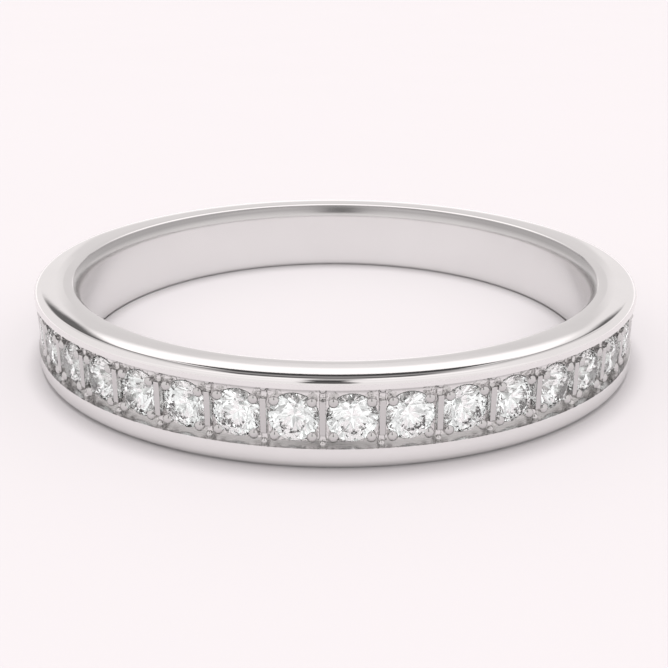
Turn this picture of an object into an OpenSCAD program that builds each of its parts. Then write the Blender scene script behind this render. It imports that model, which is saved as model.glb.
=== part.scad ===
// A band ring that lies on its side, with a row of round stones in a channel
// round the front half of its outside and a plain polished back.
// Millimetres, +Z up. The origin is on the ring's axis, on the surface it lies on.
// The middle of the row of stones faces -Y.

/* [Band] */
// Inner diameter, across the finger hole
bore_d = 17.2; // [15:0.1:20]
// Thickness from the finger hole to the outer rails
wall_t = 1.45; // [1.3:0.05:2]
// Width of the band, which is its height as it lies
band_w = 2.6; // [2.5:0.05:4]
// Rounding of the two edges beside the finger
inner_edge_r = 0.35; // [0.1:0.05:0.5]
// Rounding of the two edges outside
outer_edge_r = 0.22; // [0.05:0.01:0.25]

/* [Channel] */
// Width of the rail above the channel
upper_rail_w = 0.34; // [0.3:0.01:0.4]
// Width of the rail below the channel
lower_rail_w = 0.6; // [0.4:0.01:0.62]
// Depth of the channel below the rails
channel_depth = 0.3; // [0.28:0.01:0.36]
// How far the row of stones lies above the middle of the band
row_offset = 0.06; // [0:0.01:0.08]

/* [Stones] */
// Number of stones in the row, an odd number
stone_count = 21; // [5:2:27]
// Diameter of a stone at its girdle
stone_d = 1.33; // [1.2:0.01:1.36]
// Space between two neighbouring stones
stone_space = 0.19; // [0.17:0.01:0.3]
// Width of the table, the flat top facet, as a share of the diameter
table_share = 0.56; // [0.5:0.01:0.65]
// Slope of the main crown facets, in degrees
crown_angle = 34.5; // [30:0.5:36]
// Slope of the main pavilion facets, in degrees
pavilion_angle = 40.8; // [39:0.2:43]
// Thickness of the girdle
girdle_t = 0.03; // [0.02:0.01:0.05]
// Space between a stone and the metal round it
seat_gap = 0.02; // [0.01:0.005:0.03]

/* [Setting] */
// Thickness of the bar between two stones
bar_t = 0.18; // [0.12:0.01:0.2]
// Length of a bar's raised part, along the width of the band
bar_l = 1; // [0.8:0.01:1.1]
// How far the bars stand below the rails
bar_below = 0.06; // [0.04:0.01:0.1]
// Radius of the four beads that hold a stone
bead_r = 0.135; // [0.1:0.005:0.14]
// Distance from a stone's edge out to the middle of a bead
bead_out = 0.03; // [0.02:0.005:0.06]
// Radius of the knob at each end of a bar
knob_r = 0.1; // [0.06:0.01:0.12]

/* [Hidden] */
function stone_name(i) = str("stone_", i < 10 ? "0" : "", i);

metal = [0.86, 0.85, 0.85];
clear = [0.93, 0.97, 1.0];

bore_r = bore_d / 2;
outer_r = bore_r + wall_t;
row_z = band_w / 2 + row_offset;
channel_w = band_w - upper_rail_w - lower_rail_w;
channel_z = lower_rail_w + channel_w / 2;
floor_r = outer_r - channel_depth;

stone_r = stone_d / 2;
table_r = stone_r * table_share;
crown_h = (stone_r - table_r) * tan(crown_angle);
pavilion_h = stone_r * tan(pavilion_angle);

// Angle from one stone to the next, so that their girdles clear each other by stone_space
pitch = 2 * asin((stone_r + stone_space / 2) / (floor_r + girdle_t));
// The channel ends in the middle of the last bar at each end
row_angle = pitch * stone_count;
front = -90;

// What a cut runs past the surface that it opens
past = 0.5;
// How far a bar, bead or knob reaches below the channel's floor
root = 0.1;

function stone_angle(i) = front + (i - (stone_count + 1) / 2) * pitch;
// Each stone is turned about its own axis by an angle of its own
function stone_turn(i) = (i * 17) % 45;

// Puts its children on the channel's floor at an angle round the ring and a height, with
// their +Z pointing outwards and their X and Y along the band's width and the row
module on_floor(angle, height) {
    rotate([0, 0, angle])
        translate([floor_r, 0, height])
            rotate([0, 90, 0])
                children();
}

// The band's cross-section: straight walls and faces with rounded corners
module ring_section() {
    middle_r = (bore_r + outer_r) / 2;
    translate([bore_r + inner_edge_r, 0])
        square([wall_t - inner_edge_r - outer_edge_r, band_w]);
    translate([bore_r, inner_edge_r])
        square([middle_r - bore_r, band_w - 2 * inner_edge_r]);
    translate([middle_r, outer_edge_r])
        square([outer_r - middle_r, band_w - 2 * outer_edge_r]);
    for (z = [inner_edge_r, band_w - inner_edge_r])
        translate([bore_r + inner_edge_r, z])
            circle(r = inner_edge_r, $fn = 48);
    for (z = [outer_edge_r, band_w - outer_edge_r])
        translate([outer_r - outer_edge_r, z])
            circle(r = outer_edge_r, $fn = 48);
}

module channel_cut() {
    rotate([0, 0, front - row_angle / 2])
        rotate_extrude(angle = row_angle, $fn = 180)
            translate([floor_r, lower_rail_w])
                square([channel_depth + past, channel_w]);
}

// One bar: a low foot across the whole channel, a raised part and a knob at each end of it
module bar() {
    foot_h = channel_depth - bar_below - bead_r;
    top_h = channel_depth - bar_below;
    foot_x = channel_w / 2 + root;
    top_x = bar_l / 2;
    translate([0, bar_t / 2, 0])
        rotate([90, 0, 0])
            linear_extrude(bar_t)
                polygon([
                    [-foot_x, -root], [foot_x, -root], [foot_x, foot_h], [top_x, foot_h],
                    [top_x, top_h], [-top_x, top_h], [-top_x, foot_h], [-foot_x, foot_h]
                ]);
    // Each knob is sunk into the channel's wall
    for (side = [-1, 1])
        translate([side * (channel_w / 2 - knob_r * 0.7), 0, foot_h])
            sphere(r = knob_r);
}

// The four beads of one cell
module beads() {
    reach = stone_r + bead_out;
    for (turn = [45:90:315])
        rotate([0, 0, turn])
            translate([reach, 0, -root])
                cylinder(r = bead_r, h = root + bead_r);
    for (turn = [45:90:315])
        rotate([0, 0, turn])
            translate([reach, 0, bead_r])
                sphere(r = bead_r);
}

// The room for one stone: its own shape, wider by the gap, and open above the table
module seat() {
    gap_down = seat_gap / cos(pavilion_angle);
    gap_up = seat_gap / cos(crown_angle);
    wide_r = stone_r + seat_gap;
    rotate_extrude($fn = 64)
        polygon([
            [0, -pavilion_h - gap_down],
            [wide_r, seat_gap * tan(pavilion_angle) - gap_down],
            [wide_r, girdle_t + gap_up - seat_gap * tan(crown_angle)],
            [table_r, girdle_t + crown_h + gap_up],
            [table_r, girdle_t + crown_h + past],
            [0, girdle_t + crown_h + past]
        ]);
}

module band() {
    color(metal)
        difference() {
            union() {
                difference() {
                    rotate_extrude($fn = 180) ring_section();
                    channel_cut();
                }
                for (i = [0:stone_count])
                    on_floor(stone_angle(i) + pitch / 2, channel_z) bar($fn = 32);
                for (i = [1:stone_count])
                    on_floor(stone_angle(i), row_z) beads($fn = 32);
            }
            for (i = [1:stone_count])
                on_floor(stone_angle(i), row_z) seat();
        }
}

// The brilliant cut has eight equal parts. Its rings of corners, from the top: 8 at the table,
// 8 star points between them, 16 on each edge of the girdle, 8 low points and the culet.
parts = 8;
step = 360 / parts;
half = step / 2;
star_r = (table_r * cos(half) + stone_r) / 2;
star_z = girdle_t + (stone_r - star_r * cos(half)) * tan(crown_angle);
// The lower girdle facets run 77% of the way to the culet
low_r = stone_r * (1 - 0.77);
low_z = -(stone_r - low_r * cos(half)) * tan(pavilion_angle);

function corners(count, radius, z, first) =
    [for (k = [0:count - 1])
        let (angle = first + k * 360 / count)
        [radius * cos(angle), radius * sin(angle), z]];

stone_corners = concat(
    corners(parts, table_r, girdle_t + crown_h, 0),
    corners(parts, star_r, star_z, half),
    corners(2 * parts, stone_r, girdle_t, 0),
    corners(2 * parts, stone_r, 0, 0),
    corners(parts, low_r, low_z, half),
    [[0, 0, -pavilion_h]]
);

function at_table(k) = k % parts;
function at_star(k) = parts + (k + parts) % parts;
function at_top_edge(k) = 2 * parts + (k + 2 * parts) % (2 * parts);
function at_low_edge(k) = 4 * parts + (k + 2 * parts) % (2 * parts);
function at_low(k) = 6 * parts + (k + parts) % parts;
culet = 7 * parts;

// Corners run clockwise as seen from outside
stone_facets = concat(
    [[for (k = [parts - 1:-1:0]) at_table(k)]],
    [for (k = [0:parts - 1]) [at_table(k), at_table(k + 1), at_star(k)]],
    [for (k = [0:parts - 1]) [at_table(k), at_star(k), at_top_edge(2 * k), at_star(k - 1)]],
    [for (k = [0:parts - 1]) [at_star(k), at_top_edge(2 * k + 1), at_top_edge(2 * k)]],
    [for (k = [0:parts - 1]) [at_star(k), at_top_edge(2 * k + 2), at_top_edge(2 * k + 1)]],
    [for (k = [0:2 * parts - 1])
        [at_top_edge(k), at_top_edge(k + 1), at_low_edge(k + 1), at_low_edge(k)]],
    [for (k = [0:parts - 1]) [at_low(k), at_low_edge(2 * k), at_low_edge(2 * k + 1)]],
    [for (k = [0:parts - 1]) [at_low(k), at_low_edge(2 * k + 1), at_low_edge(2 * k + 2)]],
    [for (k = [0:parts - 1]) [culet, at_low(k - 1), at_low_edge(2 * k), at_low(k)]]
);

module stone(i) {
    color(clear)
        on_floor(stone_angle(i), row_z)
            rotate([0, 0, stone_turn(i)])
                polyhedron(points = stone_corners, faces = stone_facets);
}

band();
for (i = [1:stone_count])
    stone(i);
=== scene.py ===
import math

import bmesh
import bpy
from mathutils import Matrix, Vector


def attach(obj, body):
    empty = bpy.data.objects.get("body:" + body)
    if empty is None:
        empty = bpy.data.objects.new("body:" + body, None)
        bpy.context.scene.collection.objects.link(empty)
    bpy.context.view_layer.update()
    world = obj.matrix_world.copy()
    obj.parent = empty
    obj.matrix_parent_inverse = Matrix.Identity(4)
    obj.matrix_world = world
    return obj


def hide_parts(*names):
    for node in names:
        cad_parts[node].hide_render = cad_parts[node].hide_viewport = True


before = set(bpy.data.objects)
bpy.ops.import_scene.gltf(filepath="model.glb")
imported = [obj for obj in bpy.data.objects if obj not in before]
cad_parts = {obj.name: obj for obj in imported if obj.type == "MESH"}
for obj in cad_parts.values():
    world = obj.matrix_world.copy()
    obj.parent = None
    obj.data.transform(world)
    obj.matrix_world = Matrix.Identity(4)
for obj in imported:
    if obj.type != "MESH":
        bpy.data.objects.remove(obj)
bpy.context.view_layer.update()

MM = 0.001

# ---- Sizes of the ring, in millimetres and degrees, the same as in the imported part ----
BORE_R = 8.6
OUTER_R = 10.05
BAND_W = 2.6
OUTER_EDGE_R = 0.22
UPPER_RAIL_W = 0.34
LOWER_RAIL_W = 0.6
CHANNEL_DEPTH = 0.3
ROW_Z = 1.36
STONES = 21
STONE_R = 0.665
STONE_SPACE = 0.19
# A brilliant has eight equal parts
STONE_PARTS = 8
TABLE_SHARE = 0.56
CROWN_ANGLE = 34.5
GIRDLE_T = 0.03
# The lower girdle facets run this share of the way to the culet
LOWER_FACET_SHARE = 0.77
# Each stone is turned about its own axis: by this much more than the last, within this range
STONE_TURN = 17
TURN_RANGE = 45
SEAT_GAP = 0.02
BAR_T = 0.18
BAR_L = 1.0
BAR_H = 0.24
FOOT_H = 0.105
BEAD_R = 0.135
BEAD_OUT = 0.03
KNOB_R = 0.1
# A knob's middle lies this share of its radius inside the channel's wall
KNOB_IN = 0.7
# How far bars and beads reach below the channel's floor, and cuts past what they open
ROOT = 0.1
PAST = 0.5

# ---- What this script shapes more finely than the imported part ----
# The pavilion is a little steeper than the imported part's, so that the stones stay bright
PAVILION_ANGLE = 42.6
# The upper inner edge leaves the wall smoothly and meets its face at an angle, and a narrow strip
# of the face rolls down towards it; the lower one is plainly rounded
UPPER_INNER_EDGE = {"radius": 0.6, "meet": 38, "roll": 9, "roll_w": 0.29, "steps": 18}
LOWER_INNER_EDGE = {"radius": 0.1, "meet": 0, "roll": 0, "roll_w": 0, "steps": 6}
# From this radius the upper face bends down very slightly towards its outer edge
FACE_BEND_R = 9.36
FACE_DROP = 0.02
# Narrow strips beside the flats of the section keep the flats flat
STRIP = 0.01
BAR_ROUND = 0.04
# How far along the bar its end rises from the foot
BAR_RISE = 0.01
BEAD_H = 0.25
BEAD_DOME_R = 0.165

# ---- How finely the meshes are divided and cleaned ----
BAND_STEPS = 600
OUTER_EDGE_STEPS = 14
ROLL_STEPS = 5
FACE_STEPS = 8
CHANNEL_STEPS = 420
BAR_ROUND_STEPS = 4
BEAD_STEPS, BEAD_DOME_STEPS = 32, 9
KNOB_STEPS, KNOB_ARC_STEPS = 24, 12
SEAT_STEPS = 64
BLANK_STEPS = 64
BLANK_PAST = 0.1
CUT_SLACK = 1e-6
MERGE_WITHIN = 2e-4
SLIVER_WITHIN = 1e-4
SHARP_ANGLE = 26

# ---- Sizes that follow from those ----
CHANNEL_LOW = LOWER_RAIL_W
CHANNEL_HIGH = BAND_W - UPPER_RAIL_W
CHANNEL_W = BAND_W - UPPER_RAIL_W - LOWER_RAIL_W
CHANNEL_Z = LOWER_RAIL_W + CHANNEL_W / 2
FLOOR_R = OUTER_R - CHANNEL_DEPTH
TABLE_R = STONE_R * TABLE_SHARE
CROWN_TAN = math.tan(math.radians(CROWN_ANGLE))
PAVILION_TAN = math.tan(math.radians(PAVILION_ANGLE))
CROWN_H = (STONE_R - TABLE_R) * CROWN_TAN
PAVILION_H = STONE_R * PAVILION_TAN
BEAD_REACH = STONE_R + BEAD_OUT
PITCH = 2 * math.asin((STONE_R + STONE_SPACE / 2) / (FLOOR_R + GIRDLE_T))
FRONT = math.radians(-90)


# ---- Mesh helpers: everything is built in millimetres and scaled once ----
def make_mesh(name, verts, faces):
    mesh = bpy.data.meshes.new(name)
    mesh.from_pydata([tuple(v) for v in verts], [], faces)
    mesh.validate()
    bm = bmesh.new()
    bm.from_mesh(mesh)
    bmesh.ops.recalc_face_normals(bm, faces=bm.faces)
    bm.to_mesh(mesh)
    bm.free()
    return mesh


def make_object(name, mesh):
    obj = bpy.data.objects.new(name, mesh)
    bpy.context.scene.collection.objects.link(obj)
    return obj


def arc(cx, cy, radius, start, end, count):
    """Points of an arc in the (r, z) plane, angles in degrees."""
    angles = [math.radians(start + (end - start) * i / count) for i in range(count + 1)]
    return [(cx + radius * math.cos(a), cy + radius * math.sin(a)) for a in angles]


def turned(profile, angle):
    """The points of a profile in (r, z), turned round the Z axis."""
    return [(r * math.cos(angle), r * math.sin(angle), z) for r, z in profile]


def skin(sections, loop):
    """Joins a row of equal outlines: in a loop, or in a line with both ends closed."""
    n, count = len(sections[0]), len(sections)
    verts = [point for section in sections for point in section]
    faces = []
    for s in range(count if loop else count - 1):
        near, far = s * n, (s + 1) % count * n
        for i in range(n):
            j = (i + 1) % n
            faces.append((near + i, near + j, far + j, far + i))
    if not loop:
        last = (count - 1) * n
        faces += [tuple(range(n)), tuple(range(last, last + n))]
    return verts, faces


def lathe(profile, steps):
    """A solid turned round Z: the profile runs from one point on the axis to another."""
    n = len(profile) - 2
    verts = [(0, 0, profile[0][1])]
    for s in range(steps):
        verts += turned(profile[1:-1], 2 * math.pi * s / steps)
    verts.append((0, 0, profile[-1][1]))
    last = len(verts) - 1
    faces = []
    for s in range(steps):
        a, b = 1 + s * n, 1 + (s + 1) % steps * n
        faces.append((0, a, b))
        faces += [(a + i, a + i + 1, b + i + 1, b + i) for i in range(n - 1)]
        faces.append((last, b + n - 1, a + n - 1))
    return verts, faces


def stone_angle(i):
    return FRONT + (i - (STONES + 1) / 2) * PITCH


def on_floor(angle, height):
    """A place on the channel's floor: +Z points outwards, X and Y lie along width and row."""
    return (Matrix.Rotation(angle, 4, "Z") @ Matrix.Translation((FLOOR_R, 0, height))
            @ Matrix.Rotation(math.radians(90), 4, "Y"))


def copies(part, places):
    """The vertices and faces of a part, put at each of the places."""
    part_verts, part_faces = part
    verts, faces = [], []
    for place in places:
        base = len(verts)
        verts += [tuple(place @ Vector(v)) for v in part_verts]
        faces += [tuple(base + k for k in face) for face in part_faces]
    return verts, faces


def combine(base, tool, operation):
    modifier = base.modifiers.new("combine", "BOOLEAN")
    modifier.object = tool
    modifier.operation = operation
    modifier.solver = "MANIFOLD"
    depsgraph = bpy.context.evaluated_depsgraph_get()
    result = bpy.data.meshes.new_from_object(base.evaluated_get(depsgraph))
    base.modifiers.remove(modifier)
    base.data = result
    bpy.data.objects.remove(tool)


# ---- The band ----
def inner_edge(radius, meet, roll, roll_w, steps):
    """A lower inner edge in the (r, z) plane, from the wall to the face the band rests on."""
    bend = roll_w / math.sin(math.radians(roll)) if roll else 0
    drop = bend * (1 - math.cos(math.radians(roll)))
    rise = drop + radius * math.cos(math.radians(meet))
    edge = arc(BORE_R + radius, rise, radius, 180, 270 - meet, steps)
    if roll:
        edge += arc(edge[-1][0] + roll_w, bend, bend, 270 - roll, 270, ROLL_STEPS)[1:]
    return edge


def band_profile():
    """The band's section, from the upper inner edge outwards and round."""
    flat_end = OUTER_R - OUTER_EDGE_R
    span = flat_end - FACE_BEND_R
    shares = [i / FACE_STEPS for i in range(1, FACE_STEPS)]
    face = [(FACE_BEND_R + span * x, BAND_W - FACE_DROP * x * x) for x in shares]
    # The rounding starts at the slope in which the face ends, and is stretched a little so that
    # it ends on the outside
    slope = math.degrees(math.atan2(2 * FACE_DROP, span))
    edge_r = FACE_BEND_R + span - OUTER_EDGE_R * math.sin(math.radians(slope))
    edge_z = BAND_W - FACE_DROP - OUTER_EDGE_R * math.cos(math.radians(slope))
    short = OUTER_R - (edge_r + OUTER_EDGE_R)
    corner = [(r + short * (r - edge_r) / OUTER_EDGE_R, z) for r, z in
              arc(edge_r, edge_z, OUTER_EDGE_R, 90 - slope, 0, OUTER_EDGE_STEPS)]
    upper = [(r, BAND_W - z) for r, z in inner_edge(**UPPER_INNER_EDGE)]
    lower = inner_edge(**LOWER_INNER_EDGE)
    return [
        *upper, (upper[-1][0] + STRIP, BAND_W), (FACE_BEND_R, BAND_W),
        *face, *corner, (OUTER_R, edge_z - STRIP), (OUTER_R, OUTER_EDGE_R + STRIP),
        *arc(flat_end, OUTER_EDGE_R, OUTER_EDGE_R, 0, -90, OUTER_EDGE_STEPS),
        (flat_end - STRIP, 0), (lower[-1][0] + STRIP, 0),
        *reversed(lower), (BORE_R, lower[0][1] + STRIP), (BORE_R, upper[0][1] - STRIP),
    ]


def channel_part():
    start, end = FRONT - PITCH * STONES / 2, FRONT + PITCH * STONES / 2
    profile = [(FLOOR_R, CHANNEL_LOW), (OUTER_R + PAST, CHANNEL_LOW),
               (OUTER_R + PAST, CHANNEL_HIGH), (FLOOR_R, CHANNEL_HIGH)]
    return skin([turned(profile, start + (end - start) * s / CHANNEL_STEPS)
                 for s in range(CHANNEL_STEPS + 1)], loop=False)


def bar_part():
    """One bar: a low foot across the channel and a raised, rounded middle part."""
    bends = [math.radians(90 * k / BAR_ROUND_STEPS) for k in range(BAR_ROUND_STEPS + 1)]
    end, top = CHANNEL_W / 2 + ROOT, BAR_L / 2
    middle = [(top - BAR_ROUND + BAR_ROUND * math.sin(a),
               BAR_H - BAR_ROUND + BAR_ROUND * math.cos(a)) for a in bends]
    foot = [(top + BAR_RISE, FOOT_H), (end, FOOT_H)]
    half = middle + foot
    sections = []
    for x, height in [(-x, h) for x, h in reversed(half)] + half:
        side = [(-BAR_T / 2, -ROOT)]
        side += [(-BAR_T / 2 + BAR_ROUND - BAR_ROUND * math.cos(a),
                  height - BAR_ROUND + BAR_ROUND * math.sin(a)) for a in bends]
        side += [(-y, z) for y, z in reversed(side)]
        sections.append([(x, y, z) for y, z in side])
    return skin(sections, loop=False)


def bead_part():
    """A bead with an upright side and a domed head."""
    slope = math.degrees(math.acos(BEAD_R / BEAD_DOME_R))
    head = arc(0, BEAD_H - BEAD_DOME_R, BEAD_DOME_R, slope, 90, BEAD_DOME_STEPS)
    return lathe([(0, -ROOT), (BEAD_R, -ROOT)] + head, BEAD_STEPS)


def knob_part():
    return lathe(arc(0, 0, KNOB_R, -90, 90, KNOB_ARC_STEPS), KNOB_STEPS)


def seat_part():
    """The room for one stone: its own shape, wider by the gap, and open above the table."""
    gap_down = SEAT_GAP / math.cos(math.radians(PAVILION_ANGLE))
    gap_up = SEAT_GAP / math.cos(math.radians(CROWN_ANGLE))
    wide = STONE_R + SEAT_GAP
    return lathe([
        (0, -PAVILION_H - gap_down),
        (wide, SEAT_GAP * PAVILION_TAN - gap_down),
        (wide, GIRDLE_T + gap_up - SEAT_GAP * CROWN_TAN),
        (TABLE_R, GIRDLE_T + CROWN_H + gap_up),
        (TABLE_R, GIRDLE_T + CROWN_H + PAST),
        (0, GIRDLE_T + CROWN_H + PAST),
    ], SEAT_STEPS)


def close_slivers(mesh):
    """Closes up the slivers that the cuts leave, and faces that lie on each other."""
    bm = bmesh.new()
    bm.from_mesh(mesh)
    bmesh.ops.remove_doubles(bm, verts=bm.verts[:], dist=MERGE_WITHIN)
    bmesh.ops.dissolve_degenerate(bm, edges=bm.edges[:], dist=SLIVER_WITHIN)
    bmesh.ops.triangulate(bm, faces=[face for face in bm.faces if len(face.verts) > 4])
    groups = {}
    for face in bm.faces:
        groups.setdefault(frozenset(face.verts), []).append(face)
    twins = [face for group in groups.values() if len(group) > 1 for face in group]
    bmesh.ops.delete(bm, geom=twins, context="FACES")
    bm.to_mesh(mesh)
    bm.free()


def build_band():
    profile = band_profile()
    body = skin([turned(profile, 2 * math.pi * s / BAND_STEPS) for s in range(BAND_STEPS)],
                loop=True)
    band = make_object("band_polished", make_mesh("band_polished", *body))
    gaps = [on_floor(stone_angle(i) + PITCH / 2, CHANNEL_Z) for i in range(STONES + 1)]
    cells = [on_floor(stone_angle(i), ROW_Z) for i in range(1, STONES + 1)]
    knob_x = CHANNEL_W / 2 - KNOB_R * KNOB_IN
    knobs = [place @ Matrix.Translation((side * knob_x, 0, FOOT_H))
             for place in gaps for side in (-1, 1)]
    beads = [place @ Matrix.Rotation(math.radians(45 + 90 * k), 4, "Z")
             @ Matrix.Translation((BEAD_REACH, 0, 0)) for place in cells for k in range(4)]
    for part, places, operation in (
            (channel_part(), [Matrix.Identity(4)], "DIFFERENCE"),
            (bar_part(), gaps, "UNION"),
            (knob_part(), knobs, "UNION"),
            (bead_part(), beads, "UNION"),
            (seat_part(), cells, "DIFFERENCE")):
        combine(band, make_object("tool", make_mesh("tool", *copies(part, places))), operation)
    close_slivers(band.data)
    return band


# ---- The stones ----
def ring_of(count, radius, z, first=0.0):
    angles = [first + 2 * math.pi * k / count for k in range(count)]
    return [Vector(turned([(radius, z)], a)[0]) for a in angles]


def facet_planes():
    """Three points of each facet of a round brilliant."""
    half = math.radians(180 / STONE_PARTS)
    star_r = (TABLE_R * math.cos(half) + STONE_R) / 2
    star_z = GIRDLE_T + (STONE_R - star_r * math.cos(half)) * CROWN_TAN
    low_r = STONE_R * (1 - LOWER_FACET_SHARE)
    low_z = -(STONE_R - low_r * math.cos(half)) * PAVILION_TAN
    table = ring_of(STONE_PARTS, TABLE_R, GIRDLE_T + CROWN_H)
    star = ring_of(STONE_PARTS, star_r, star_z, half)
    top = ring_of(2 * STONE_PARTS, STONE_R, GIRDLE_T)
    low_edge = ring_of(2 * STONE_PARTS, STONE_R, 0)
    low = ring_of(STONE_PARTS, low_r, low_z, half)
    culet = Vector((0, 0, -PAVILION_H))
    planes = []
    for k in range(STONE_PARTS):
        here, middle, after = 2 * k, 2 * k + 1, (2 * k + 2) % (2 * STONE_PARTS)
        planes += [
            (table[k], table[(k + 1) % STONE_PARTS], star[k]),
            (table[k], star[k], top[here]),
            (star[k], top[here], top[middle]),
            (star[k], top[middle], top[after]),
            (low[k], low_edge[here], low_edge[middle]),
            (low[k], low_edge[middle], low_edge[after]),
            (culet, low[k], low_edge[here]),
        ]
    return planes


def brilliant_mesh():
    """A round brilliant with a round girdle, cut from a blank by the planes of its facets."""
    bm = bmesh.new()
    lower, upper = [
        [bm.verts.new(v) for v in ring_of(BLANK_STEPS, STONE_R, z)]
        for z in (-PAVILION_H - BLANK_PAST, GIRDLE_T + CROWN_H)
    ]
    for i in range(BLANK_STEPS):
        j = (i + 1) % BLANK_STEPS
        bm.faces.new((lower[i], lower[j], upper[j], upper[i]))
    bm.faces.new(list(reversed(lower)))
    bm.faces.new(upper)
    for a, b, c in facet_planes():
        normal = (b - a).cross(c - a).normalized()
        if normal.dot(a) < 0:
            normal = -normal
        cut = bmesh.ops.bisect_plane(
            bm, geom=bm.verts[:] + bm.edges[:] + bm.faces[:], dist=CUT_SLACK,
            plane_co=a, plane_no=normal, clear_outer=True)
        edges = [e for e in cut["geom_cut"] if isinstance(e, bmesh.types.BMEdge) and e.is_boundary]
        if edges:
            bmesh.ops.contextual_create(bm, geom=edges)
    bmesh.ops.remove_doubles(bm, verts=bm.verts[:], dist=MERGE_WITHIN)
    bmesh.ops.recalc_face_normals(bm, faces=bm.faces)
    bm.transform(Matrix.Scale(MM, 4))
    mesh = bpy.data.meshes.new("brilliant")
    bm.to_mesh(mesh)
    bm.free()
    return mesh


def build_stones(mesh):
    stones = []
    for i in range(1, STONES + 1):
        stone = make_object(f"brilliant_{i:02d}", mesh)
        turn = math.radians(i * STONE_TURN % TURN_RANGE)
        place = on_floor(stone_angle(i), ROW_Z) @ Matrix.Rotation(turn, 4, "Z")
        place.translation *= MM
        stone.matrix_world = place
        stones.append(stone)
    return stones


# ---- Node helpers ----
class Graph:
    """Short calls for the nodes of a material or of the world."""

    def __init__(self, tree):
        self.nodes, self.links = tree.nodes, tree.links

    def feed(self, socket, value):
        """Links another socket's value, or sets a plain one."""
        if isinstance(value, bpy.types.NodeSocket):
            self.links.new(value, socket)
        else:
            socket.default_value = value

    def add(self, kind, **values):
        """A new node: each value goes to the input of that name, or else to the property."""
        node = self.nodes.new(kind)
        for key, value in values.items():
            if key in node.inputs:
                self.feed(node.inputs[key], value)
            else:
                setattr(node, key, value)
        return node

    def fill(self, node, values):
        for name, value in values.items():
            self.feed(node.inputs[name], value)

    def place(self, kind):
        return self.add("ShaderNodeTexCoord").outputs[kind]

    def calc(self, operation, *values):
        node = self.add("ShaderNodeMath", operation=operation)
        for socket, value in zip(node.inputs, values):
            self.feed(socket, value)
        return node.outputs["Value"]

    def times(self, first, *others):
        for value in others:
            first = self.calc("MULTIPLY", first, value)
        return first

    def rest(self, share):
        return self.calc("SUBTRACT", 1.0, share)

    def vector(self, operation, *values):
        """A vector calculation, with the inputs and the output that this one has."""
        node = self.add("ShaderNodeVectorMath", operation=operation)
        for socket, value in zip([s for s in node.inputs if s.enabled], values):
            self.feed(socket, value)
        return next(s for s in node.outputs if s.enabled)

    def fade(self, value, start, end, low=0.0, high=1.0, kind="LINEAR"):
        """Runs from low at start to high at end."""
        node = self.add("ShaderNodeMapRange", interpolation_type=kind)
        self.fill(node, {"Value": value, "From Min": start, "From Max": end,
                         "To Min": low, "To Max": high})
        return node.outputs["Result"]

    def mix(self, share, under, over, kind="FLOAT"):
        node = self.add("ShaderNodeMix", data_type=kind)
        self.fill(node, {"Factor": share, "A": under, "B": over})
        return node.outputs["Result"]

    def noise(self, vector, **values):
        return self.add("ShaderNodeTexNoise", **values, Vector=vector).outputs["Fac"]

    def colours(self, factor, stops):
        """Runs from one (position, colour) stop to the other."""
        node = self.add("ShaderNodeValToRGB", Fac=factor)
        for mark, (position, colour) in zip(node.color_ramp.elements, stops):
            mark.position = position
            mark.color = colour
        return node.outputs["Color"]


def new_material(name):
    material = bpy.data.materials.new(name)
    material.use_nodes = True
    return material, Graph(material.node_tree), material.node_tree.nodes["Principled BSDF"]


# ---- Materials ----
# Stops of the metal's faint variation, as (noise value, colour), and the roughness at each
METAL_COLOURS = [(0.3, (0.80, 0.795, 0.79, 1)), (0.7, (0.83, 0.825, 0.82, 1))]
METAL_ROUGHNESS = (0.03, 0.06)
# Painted shade against the polished rails: of the heads of bars, beads and knobs, the channel's
# floor and the ledges along its walls; a painted shadow in its upper corner; and a painted dark
# reflection on the rounding of the upper inner edge
HEAD_SHADE = 0.74
CHANNEL_FLOOR_SHADE = 0.92
LEDGE_SHADE = 0.88
CREVICE_SHADOW_TONE = 0.7
EDGE_REFLECTION_TONE = 0.5
# The outer part of the ledges has this share of the painted shadow in the channel's upper corner
CREVICE_SHADOW_ON_LEDGE = 0.7
# A tool reaches the channel's floor, its ledges and the inside of the ring less well
FLOOR_ROUGHNESS = 0.12
LEDGE_ROUGHNESS = 0.30
INSIDE_ROUGHNESS = 0.25
# Where those parts lie, in millimetres: distances from the ring's axis (r) and heights (z), each
# pair running from outside the part to inside it
RECESS_R = [(9.55, 9.6), (10.045, 10.03)]
RECESS_Z = [(CHANNEL_LOW - 0.03, CHANNEL_LOW + 0.01), (CHANNEL_HIGH + 0.03, CHANNEL_HIGH - 0.01)]
BOTTOM_R = (9.95, 9.88)
LEDGE_Z = [(CHANNEL_LOW + 0.1, CHANNEL_LOW + 0.06), (CHANNEL_HIGH - 0.06, CHANNEL_HIGH - 0.02)]
CREVICE_SHADOW_Z = (CHANNEL_HIGH - 0.22, CHANNEL_HIGH - 0.17)
CREVICE_SHADOW_R = (9.97, 10.0)
EDGE_R = (8.835, 8.8)
EDGE_Z = (2.12, 2.42)
INSIDE_R = (8.84, 8.8)
# Polishing marks run round the ring, so they are this much finer along its height
MARKS_STRETCH = (1.0, 1.0, 9.0)
MARKS_DEPTH = 0.00002
WAVES_DEPTH = 0.00004
WAVES_STRENGTH = 0.9

STONE_IOR = 2.16
STONE_COLOURS = [(0.35, (0.955, 0.980, 0.970, 1)), (0.65, (0.975, 0.990, 0.985, 1))]
PAPER_COLOURS = [(0.0, (0.368, 0.348, 0.351, 1)), (1.0, (0.374, 0.352, 0.356, 1))]
PAPER_ROUGHNESS = 0.9


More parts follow.
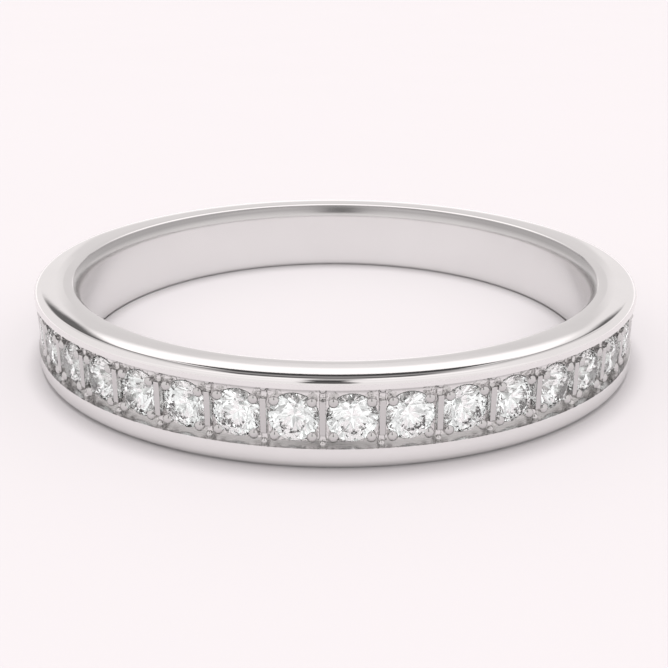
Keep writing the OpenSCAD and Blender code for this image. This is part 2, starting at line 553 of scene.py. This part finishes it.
def metal_material():
    """Polished white metal: faint tone and gloss variation, fine marks, a rougher channel with
    painted shade, and a painted dark reflection on the upper inner edge.
    """
    material, graph, shader = new_material("polished_white_metal")
    calc, times, mix = graph.calc, graph.times, graph.mix
    place = graph.place("Object")
    height = graph.add("ShaderNodeSeparateXYZ", Vector=place).outputs["Z"]
    radius = graph.vector("LENGTH", graph.vector("MULTIPLY", place, (1, 1, 0)))

    def zone(value, start, end):
        return graph.fade(value, start * MM, end * MM)

    # The channel, its floor and its ledges: here the metal is rougher and painted darker as shade
    recess = times(times(*[zone(radius, *pair) for pair in RECESS_R]),
                   times(*[zone(height, *pair) for pair in RECESS_Z]))
    bottom = times(recess, zone(radius, *BOTTOM_R))
    ledge = times(recess, calc("MAXIMUM", *[zone(height, *pair) for pair in LEDGE_Z]))
    # The upper corner of the channel's floor and the outer rim of the ledges, where a painted
    # shadow lies
    crevice_shadow = calc("MAXIMUM", times(bottom, zone(height, *CREVICE_SHADOW_Z)),
                   times(ledge, zone(radius, *CREVICE_SHADOW_R), CREVICE_SHADOW_ON_LEDGE))
    # The rounding of the upper inner edge, where a painted dark reflection lies
    edge = times(zone(radius, *EDGE_R), zone(height, *EDGE_Z))

    tone = graph.noise(place, Scale=420.0, Detail=4.0, Roughness=0.55)
    colour = graph.colours(tone, METAL_COLOURS)
    # Painted shade: the channel's parts darker than the rails, a painted shadow in its upper
    # corner and a painted dark reflection on the upper inner edge
    shade = mix(ledge, mix(bottom, mix(recess, 1.0, HEAD_SHADE), CHANNEL_FLOOR_SHADE), LEDGE_SHADE)
    shade = times(shade, mix(crevice_shadow, 1.0, CREVICE_SHADOW_TONE), mix(edge, 1.0, EDGE_REFLECTION_TONE))

    (first, _), (last, _) = METAL_COLOURS
    gloss = graph.fade(tone, first, last, *METAL_ROUGHNESS)
    gloss = mix(zone(radius, *INSIDE_R), gloss, INSIDE_ROUGHNESS)
    rough = mix(ledge, mix(bottom, gloss, FLOOR_ROUGHNESS), LEDGE_ROUGHNESS)

    # Fine polishing marks everywhere, and the uneven surface that setting leaves in the channel
    stretch = graph.add("ShaderNodeMapping", Vector=place, Scale=MARKS_STRETCH)
    marks = graph.noise(stretch.outputs["Vector"], Scale=2600.0, Detail=3.0, Roughness=0.6)
    fine = graph.add("ShaderNodeBump", Strength=0.02, Distance=MARKS_DEPTH, Height=marks)
    waves = graph.noise(place, Scale=9000.0, Detail=1.5, Roughness=0.5)
    strength = times(calc("SUBTRACT", bottom, times(bottom, ledge)), WAVES_STRENGTH)
    uneven = graph.add("ShaderNodeBump", Strength=strength, Distance=WAVES_DEPTH, Height=waves,
                       Normal=fine.outputs["Normal"])
    graph.fill(shader, {
        "Metallic": 1.0,
        "Base Color": graph.vector("SCALE", colour, shade),
        "Roughness": rough,
        "Normal": uneven.outputs["Normal"],
    })
    return material


def stone_material():
    """Clear colourless stone with a faint cool tint."""
    material, graph, shader = new_material("clear_brilliant_stone")
    tint = graph.noise(graph.place("Object"), Scale=900.0, Detail=1.0)
    graph.fill(shader, {
        "IOR": STONE_IOR,
        "Roughness": 0.0,
        "Transmission Weight": 1.0,
        "Base Color": graph.colours(tint, STONE_COLOURS),
    })
    return material


def floor_material():
    """Pale, very slightly pink paper."""
    material, graph, shader = new_material("pale_floor")
    grain = graph.noise(graph.place("Object"), Scale=60.0, Detail=2.0)
    graph.fill(shader, {
        "Roughness": PAPER_ROUGHNESS,
        "Specular IOR Level": 0.0,
        "Base Color": graph.colours(grain, PAPER_COLOURS),
    })
    return material


# ---- The camera, solved from the photograph's curves: degrees, millimetres and pixels ----
VIEW_TURN = math.radians(-2.65)
VIEW_RISE = math.radians(20.66)
VIEW_ROLL = math.radians(0.157)
VIEW_YAW = math.radians(-0.063)
VIEW_PITCH = math.radians(-0.01)
VIEW_DISTANCE = 35.17
VIEW_FOCAL_PX = 990.7
IMAGE_PX = 668
SENSOR = 36.0
# In metres
CLIP_START, CLIP_END = 0.001, 20


def build_camera():
    turn = Matrix.Rotation(VIEW_TURN, 3, "Z")
    ahead = Vector((0, math.cos(VIEW_RISE), -math.sin(VIEW_RISE)))
    up = Vector((0, math.sin(VIEW_RISE), math.cos(VIEW_RISE)))
    look = (ahead + Vector((math.tan(VIEW_YAW), 0, 0)) + up * math.tan(VIEW_PITCH)).normalized()
    side = look.cross(up).normalized()
    over = side.cross(look)
    side, over = (math.cos(VIEW_ROLL) * side + math.sin(VIEW_ROLL) * over,
                  math.cos(VIEW_ROLL) * over - math.sin(VIEW_ROLL) * side)
    data = bpy.data.cameras.new("camera")
    data.sensor_width = SENSOR
    data.lens = SENSOR * VIEW_FOCAL_PX / IMAGE_PX
    data.clip_start = CLIP_START
    data.clip_end = CLIP_END
    camera = make_object("camera", data)
    place = (turn @ Matrix((side, over, -look)).transposed()).to_4x4()
    place.translation = turn @ (-ahead * VIEW_DISTANCE * MM)
    camera.matrix_world = place
    bpy.context.scene.camera = camera


# ---- The studio ----
# The metal mirrors everything round it, so the surround is made of the plain shapes of a small
# photo studio. A direction is given by two angles in degrees: t runs from the horizon behind the
# ring (0) over the top (90) to the horizon in front (180), and side runs from left to right.
# Reach is the distance from the middle, side 0.

# Brightness along t, as (t, brightness) stops
WALL = [
    (0, 1.2), (7, 1.2), (11, 0.95), (116, 0.98), (124, 1.08), (140, 1.08), (148, 1.0), (180, 1.0),
]
BACKDROP = [(0, 1.25), (7, 1.25), (11, 0.82), (22, 0.77), (24.5, 1.3), (33, 1.3)]
OVERHEAD = [(52, 0.05), (60, 0.36), (68, 0.40), (75, 0.15), (82, 0.08), (90, 0.3), (97, 0.5)]
STONE_SKY = [(0, 0.9), (60, 0.8), (90, 1.2), (120, 1.05), (150, 0.95), (180, 1.0)]
# How much darker the ceiling's corners are, along t
CORNERS = [(28, 0), (36, 0.4), (60, 0.4), (80, 0.3), (95, 0)]

# A shape lies within a range in t and either a range in side or a limit in reach. A range is
# (low, high, width of the soft change at low, the same at high), and a limit is (start, end) of
# the soft change at which the shape ends.
SOFT_BOXES = {"t": (92, 112, 12, 8), "limit": (30, 45)}
SOFT_BOX_GAIN = 0.22
BACKDROP_LIMIT = (14.5, 16)
BACKDROP_TOP = 31.8
FRAME_TOP = {"t": (31.5, 53.5, 1, 5), "side": (-11.5, 13.5, 3, 3), "tone": 0.07}
OVERHEAD_GAP = {"t": (53.5, 92.5, 5, 9), "side": (-20.5, 19, 5, 10)}
BETWEEN_BOXES = {"t": (92.5, 110, 9, 5), "limit": (2, 9), "tone": 0.5}
# The camera's lens and its body on the stand
CAMERA_SHAPES = [
    {"t": (111, 137, 4, 1), "limit": (3, 8), "tone": 0.08},
    {"t": (137, 159, 1, 6), "limit": (6, 11), "tone": 0.12},
]
# They stand this far left of the middle
CAMERA_LEFT = 2.0
# The frame's upright edges: they lie where t and this share of reach add up to a range, and
# between two changes in reach. On the right they lie a little higher and further out.
FRAME_LEAN = 0.7
FRAME_RANGE = (32.8, 62, 2, 8)
FRAME_INNER, FRAME_INNER_SOFT = 14.9, 1.6
FRAME_OUTER = (18.5, 20)
FRAME_DARKNESS = 0.84
RIGHT_HALF = (-5, 5)
RIGHT_UP, RIGHT_OUT = 1.5, 1.3
CORNER_LIMIT = (19, 34)
FAR_SIDES = (62, 80)
FAR_TONE = 1.0

STUDIO_TINT = (1.0, 0.955, 0.955)
HORIZON_COLOUR = (0.98, 0.92, 0.93, 1)
CLOUD_SCALE = 4.5
CLOUD_SEED = 2.7
CLOUD_DEPTH = 1.5
# What the stones let through is brighter by this share at the sides
STONE_SIDE_GAIN = 0.75
STONE_SIDES = (20, 60)


def build_world():
    world = bpy.data.worlds.new("studio")
    world.use_nodes = True
    bpy.context.scene.world = world
    graph = Graph(world.node_tree)
    graph.nodes.clear()
    calc, times, rest = graph.calc, graph.times, graph.rest
    place = graph.place("Generated")

    def step(value, low, high):
        """0 below low and 1 above high, with a soft change between."""
        return graph.fade(value, low, high, kind="SMOOTHSTEP")

    def within(value, low, high, soft_low, soft_high):
        """1 between low and high; each soft number is the width of the change at that end."""
        rise = step(value, low - soft_low / 2, low + soft_low / 2)
        fall = step(value, high - soft_high / 2, high + soft_high / 2)
        return times(rise, rest(fall))

    def curve(stops):
        """Runs straight from each (t, brightness) stop to the next."""
        node = graph.add("ShaderNodeValToRGB", Fac=calc("DIVIDE", t, 180.0))
        marks = node.color_ramp.elements
        while len(marks) > 1:
            marks.remove(marks[-1])
        for k, (angle, brightness) in enumerate(stops):
            mark = marks[0] if k == 0 else marks.new(angle / 180)
            mark.position = angle / 180
            mark.color = (brightness, brightness, brightness, 1)
        return node.outputs["Color"]

    def blend(under, over, share):
        return calc("ADD", times(over, share), times(under, rest(share)))

    def shape(row, distance):
        """1 inside the shape and 0 outside; a limit applies to the distance."""
        if "side" in row:
            across = within(side, *row["side"])
        else:
            across = rest(step(distance, *row["limit"]))
        return times(within(t, *row["t"]), across)

    turn = Matrix.Rotation(VIEW_TURN, 3, "Z")
    up, back, right = [graph.vector("DOT_PRODUCT", place, axis)
                       for axis in ((0, 0, 1), turn @ Vector((0, 1, 0)), turn @ Vector((1, 0, 0)))]
    t = times(calc("ARCTAN2", up, back), math.degrees(1))
    side = times(calc("ARCSINE", right), math.degrees(1))
    reach = calc("ABSOLUTE", side)

    # Pale walls all round, with two brighter soft lights left and right of the top
    tone = calc("ADD", curve(WALL), times(shape(SOFT_BOXES, reach), SOFT_BOX_GAIN))
    # The backdrop, with the bright strip along its top
    backdrop = times(rest(step(reach, *BACKDROP_LIMIT)), calc("LESS_THAN", t, BACKDROP_TOP))
    tone = blend(tone, curve(BACKDROP), backdrop)
    # The dark edges of the frame that holds the backdrop: left and right
    on_right = step(side, *RIGHT_HALF)
    slope = calc("SUBTRACT", calc("MULTIPLY_ADD", reach, FRAME_LEAN, t), times(on_right, RIGHT_UP))
    inner = calc("MULTIPLY_ADD", on_right, RIGHT_OUT, FRAME_INNER)
    outside = step(reach, *FRAME_OUTER)
    uprights = times(within(slope, *FRAME_RANGE), calc(
        "SUBTRACT", step(reach, inner, calc("ADD", inner, FRAME_INNER_SOFT)), outside))
    tone = times(tone, rest(times(uprights, FRAME_DARKNESS)))
    # Beside them, the dim corners of the ceiling
    corners = times(outside, curve(CORNERS), rest(step(reach, *CORNER_LIMIT)))
    tone = times(tone, rest(corners))
    # The frame's top, the dim gap overhead, and what lies between the two soft lights
    tone = blend(tone, FRAME_TOP["tone"], shape(FRAME_TOP, reach))
    tone = blend(tone, curve(OVERHEAD), shape(OVERHEAD_GAP, reach))
    tone = blend(tone, BETWEEN_BOXES["tone"], shape(BETWEEN_BOXES, reach))
    # The camera in front: a dark upright shape, wider in its lower part
    offset = calc("ABSOLUTE", calc("ADD", side, CAMERA_LEFT))
    for row in CAMERA_SHAPES:
        tone = blend(tone, row["tone"], shape(row, offset))
    # Far to the left and right everything is one plain wall
    tone = blend(tone, FAR_TONE, step(reach, *FAR_SIDES))
    studio = graph.vector("SCALE", STUDIO_TINT, tone)

    # What the stones let through is a soft, cloudy sky, which gives each facet a tone of its own
    clouds = graph.noise(place, noise_dimensions="4D", Scale=CLOUD_SCALE, Detail=1.0, W=CLOUD_SEED)
    cloud = calc("MULTIPLY_ADD", clouds, 2 * CLOUD_DEPTH, 1 - CLOUD_DEPTH)
    wide = calc("MULTIPLY_ADD", step(reach, *STONE_SIDES), STONE_SIDE_GAIN, 1.0)
    sky = times(curve(STONE_SKY), cloud, wide)
    path = graph.add("ShaderNodeLightPath")
    seen = graph.mix(path.outputs["Is Transmission Ray"], studio, sky, "RGBA")

    # Past the end of the floor the studio looks like the floor
    seen = graph.mix(path.outputs["Is Camera Ray"], seen, HORIZON_COLOUR, "RGBA")
    background = graph.add("ShaderNodeBackground", Color=seen)
    graph.add("ShaderNodeOutputWorld", Surface=background.outputs["Background"])


# The lights that shine on the floor: how far each leans from straight overhead towards the
# viewer, its angular size, both in degrees, and its strength
SOFT_LIGHTS = [
    {"name": "key_light", "lean": -8, "spread": 26, "strength": 3.9},
    {"name": "front_fill", "lean": 54, "spread": 34, "strength": 3.4},
]
LIGHT_COLOUR = (0.985, 0.99, 1.0)


def build_lights():
    for row in SOFT_LIGHTS:
        data = bpy.data.lights.new(row["name"], "SUN")
        data.energy = row["strength"]
        data.angle = math.radians(row["spread"])
        data.color = LIGHT_COLOUR
        light = make_object(row["name"], data)
        light.rotation_euler = (math.radians(row["lean"]), 0, 0)
        light.visible_glossy = False
        light.visible_transmission = False


# The paper that the ring lies on: a disc, its radius in metres, a hair below the ring
PAPER_R = 1.2
PAPER_SEGMENTS = 96
PAPER_BELOW = 0.01 * MM


def build_floor(material):
    bm = bmesh.new()
    bmesh.ops.create_circle(bm, cap_ends=True, cap_tris=False, segments=PAPER_SEGMENTS,
                            radius=PAPER_R)
    bmesh.ops.translate(bm, verts=bm.verts, vec=(0, 0, -PAPER_BELOW))
    mesh = bpy.data.meshes.new("floor")
    bm.to_mesh(mesh)
    bm.free()
    mesh.materials.append(material)
    floor = make_object("floor", mesh)


# ---- Putting it together ----
build_camera()
build_world()
build_lights()
build_floor(floor_material())

band = build_band()
band.data.transform(Matrix.Scale(MM, 4))
band.data.materials.clear()
band.data.materials.append(metal_material())
for polygon in band.data.polygons:
    polygon.use_smooth = True
band.data.set_sharp_from_angle(angle=math.radians(SHARP_ANGLE))
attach(band, "root")
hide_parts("band")

gem_mesh = brilliant_mesh()
gem_mesh.materials.append(stone_material())
for i, stone in enumerate(build_stones(gem_mesh), 1):
    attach(stone, "root")
    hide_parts(f"stone_{i:02d}")

scene = bpy.context.scene
scene.view_settings.view_transform = "Standard"
scene.cycles.max_bounces = 24
scene.cycles.transmission_bounces = 20
scene.cycles.glossy_bounces = 10
scene.cycles.diffuse_bounces = 4
scene.cycles.caustics_reflective = False
scene.cycles.caustics_refractive = False
